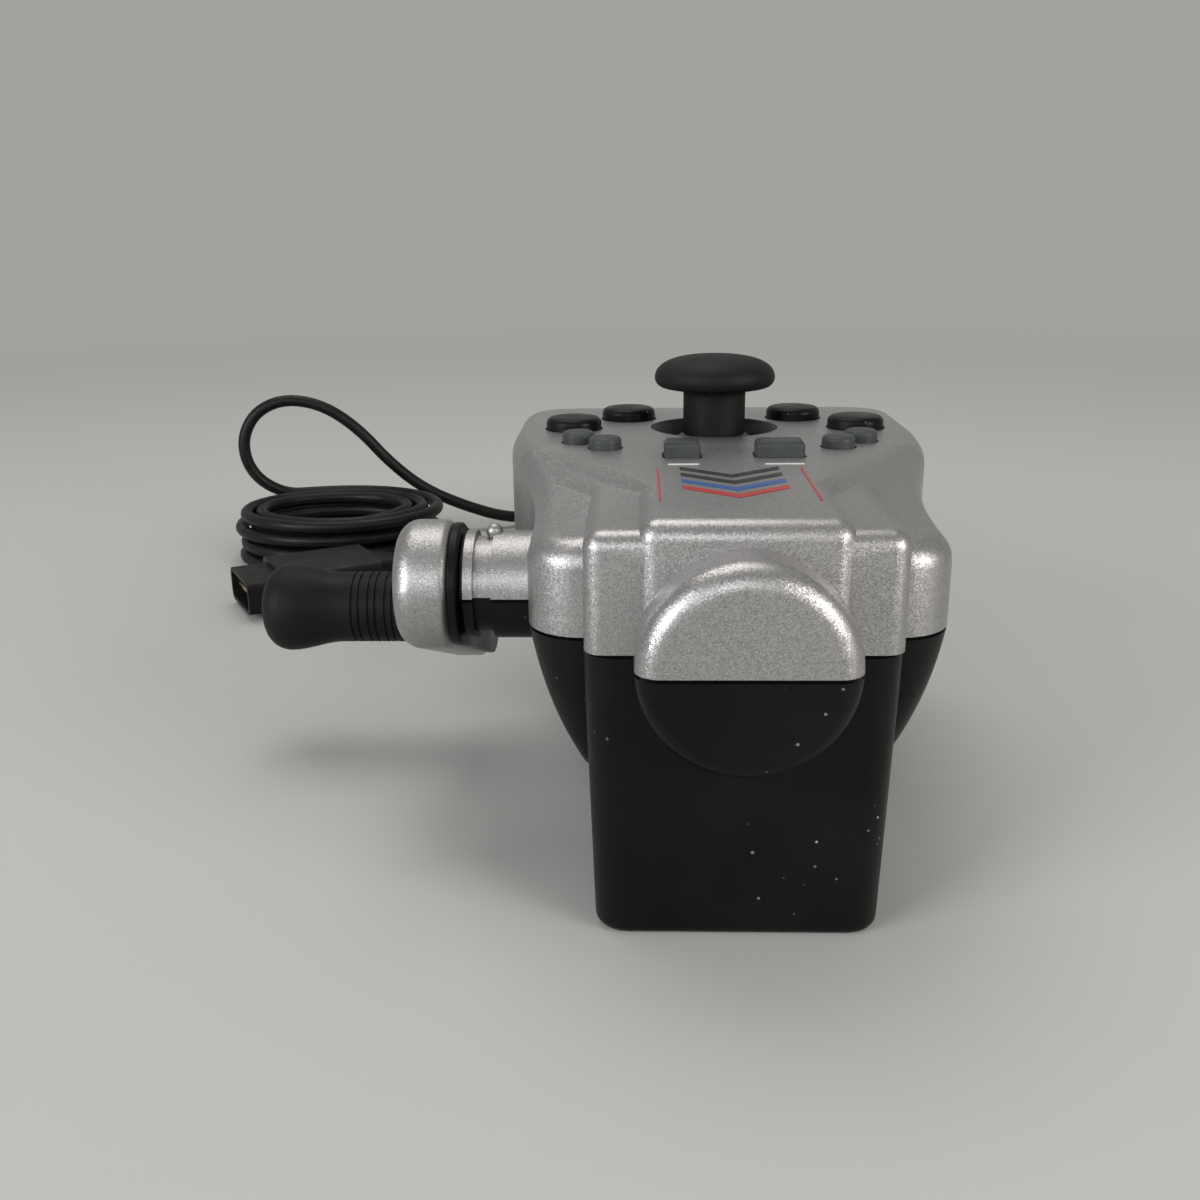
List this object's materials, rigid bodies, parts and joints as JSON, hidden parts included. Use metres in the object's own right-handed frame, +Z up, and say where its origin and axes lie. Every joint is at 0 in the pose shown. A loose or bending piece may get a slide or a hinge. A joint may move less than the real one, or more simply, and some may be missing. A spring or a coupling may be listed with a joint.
{
  "type": "fishing rod game controller",
  "caption": "Hand-held fishing game controller with a turning reel crank, thumbstick, face buttons, rear grip and a cord with plug.",
  "frame": {"origin": "centre of the keel's flat base, on the surface that the controller stands on", "axes": "+Z up, -Y towards the nose, +Y along the handle, the reel crank sticks out along -X"},
  "size_m": [0.1757, 0.2698, 0.073],
  "materials": {
    "silver_shell": "moulded plastic with fine-flake silver metallic paint",
    "black_shell": "satin black moulding",
    "black_rubber": "matt soft-touch",
    "black_button": "satin",
    "grey_button": "satin dark grey",
    "silicone": "matt translucent grey",
    "circuit_board": "glass-fibre board with solder mask",
    "bearing_plastic": "natural white acetal",
    "steel": "bright zinc-plated",
    "brass_weight": "plain turned",
    "cord_sheath": "smooth black cord sheath",
    "plug_plastic": "moulded black",
    "contact_metal": "bright contacts"
  },
  "bodies": {
    "housing": {"top_shell": "silver_shell", "bottom_shell": "black_shell", "shell_screws": "steel", "grip_sleeve": "black_rubber", "butt_cap": "black_shell", "strain_relief": "cord_sheath", "reel_bushes": "bearing_plastic", "reel_sensor": "circuit_board", "button_board": "circuit_board", "board_screws": "steel", "button_mat_left": "silicone", "button_mat_right": "silicone", "button_mat_middle": "silicone", "stick_ring": "black_shell", "stick_case": "steel", "stick_board": "circuit_board", "rumble_motor": "steel", "cord_lead": "cord_sheath", "cord_coil": "cord_sheath", "cord_tail": "cord_sheath", "plug_body": "plug_plastic", "plug_nose": "plug_plastic", "plug_contacts": "contact_metal"},
    "crank": {"reel_shaft": "steel", "shaft_clips": "steel", "encoder_wheel": "bearing_plastic", "crank_base": "black_shell", "crank_cover": "silver_shell", "knob_pin": "steel"},
    "knob": {"crank_knob": "black_rubber"},
    "yoke": {"stick_yoke": "black_button"},
    "stick": {"stick_dome": "black_button", "stick_cap": "black_rubber"},
    "weight": {"motor_weight": "brass_weight"},
    "round_button_left_outer": {"round_button_left_outer": "black_button"},
    "round_button_left_inner": {"round_button_left_inner": "black_button"},
    "round_button_right_outer": {"round_button_right_outer": "black_button"},
    "round_button_right_inner": {"round_button_right_inner": "black_button"},
    "small_button_left_front": {"small_button_left_front": "grey_button"},
    "small_button_left_rear": {"small_button_left_rear": "grey_button"},
    "small_button_right_front": {"small_button_right_front": "grey_button"},
    "small_button_right_rear": {"small_button_right_rear": "grey_button"},
    "select_button": {"select_button": "grey_button"},
    "start_button": {"start_button": "grey_button"}
  },
  "joints": [
    {"name": "crank_spin", "type": "hinge", "parent": "housing", "child": "crank", "pos_m": [-0.0424, -0.0053, 0.0422], "axis": [1, 0, 0], "continuous": true},
    {"name": "knob_spin", "type": "hinge", "parent": "crank", "child": "knob", "pos_m": [-0.0677, 0.0306, 0.02696], "axis": [1, 0, 0], "continuous": true},
    {"name": "stick_forward", "type": "hinge", "parent": "housing", "child": "yoke", "pos_m": [0, 0.035, 0.048], "axis": [1, 0, 0], "range_deg": [-15, 15], "stiffness_Nm_per_rad": 0.03},
    {"name": "stick_sideways", "type": "hinge", "parent": "yoke", "child": "stick", "pos_m": [0, 0.035, 0.048], "axis": [0, 1, 0], "range_deg": [-15, 15], "stiffness_Nm_per_rad": 0.03},
    {"name": "weight_spin", "type": "hinge", "parent": "housing", "child": "weight", "pos_m": [0, -0.018, 0.0145], "axis": [0, 1, 0], "continuous": true},
    {"name": "round_button_left_outer_press", "type": "slide", "parent": "housing", "child": "round_button_left_outer", "axis": [0, 0, -1], "range_m": [0, 0.0012], "stiffness_N_per_m": 300, "springref_m": -0.001, "deforming": ["button_mat_left"]},
    {"name": "round_button_left_inner_press", "type": "slide", "parent": "housing", "child": "round_button_left_inner", "axis": [0, 0, -1], "range_m": [0, 0.0012], "stiffness_N_per_m": 300, "springref_m": -0.001, "deforming": ["button_mat_left"]},
    {"name": "round_button_right_outer_press", "type": "slide", "parent": "housing", "child": "round_button_right_outer", "axis": [0, 0, -1], "range_m": [0, 0.0012], "stiffness_N_per_m": 300, "springref_m": -0.001, "deforming": ["button_mat_right"]},
    {"name": "round_button_right_inner_press", "type": "slide", "parent": "housing", "child": "round_button_right_inner", "axis": [0, 0, -1], "range_m": [0, 0.0012], "stiffness_N_per_m": 300, "springref_m": -0.001, "deforming": ["button_mat_right"]},
    {"name": "small_button_left_front_press", "type": "slide", "parent": "housing", "child": "small_button_left_front", "axis": [0, 0, -1], "range_m": [0, 0.0012], "stiffness_N_per_m": 300, "springref_m": -0.001, "deforming": ["button_mat_left"]},
    {"name": "small_button_left_rear_press", "type": "slide", "parent": "housing", "child": "small_button_left_rear", "axis": [0, 0, -1], "range_m": [0, 0.0012], "stiffness_N_per_m": 300, "springref_m": -0.001, "deforming": ["button_mat_left"]},
    {"name": "small_button_right_front_press", "type": "slide", "parent": "housing", "child": "small_button_right_front", "axis": [0, 0, -1], "range_m": [0, 0.0012], "stiffness_N_per_m": 300, "springref_m": -0.001, "deforming": ["button_mat_right"]},
    {"name": "small_button_right_rear_press", "type": "slide", "parent": "housing", "child": "small_button_right_rear", "axis": [0, 0, -1], "range_m": [0, 0.0012], "stiffness_N_per_m": 300, "springref_m": -0.001, "deforming": ["button_mat_right"]},
    {"name": "select_button_press", "type": "slide", "parent": "housing", "child": "select_button", "axis": [0, 0, -1], "range_m": [0, 0.0012], "stiffness_N_per_m": 300, "springref_m": -0.001, "deforming": ["button_mat_middle"]},
    {"name": "start_button_press", "type": "slide", "parent": "housing", "child": "start_button", "axis": [0, 0, -1], "range_m": [0, 0.0012], "stiffness_N_per_m": 300, "springref_m": -0.001, "deforming": ["button_mat_middle"]}
  ]
}
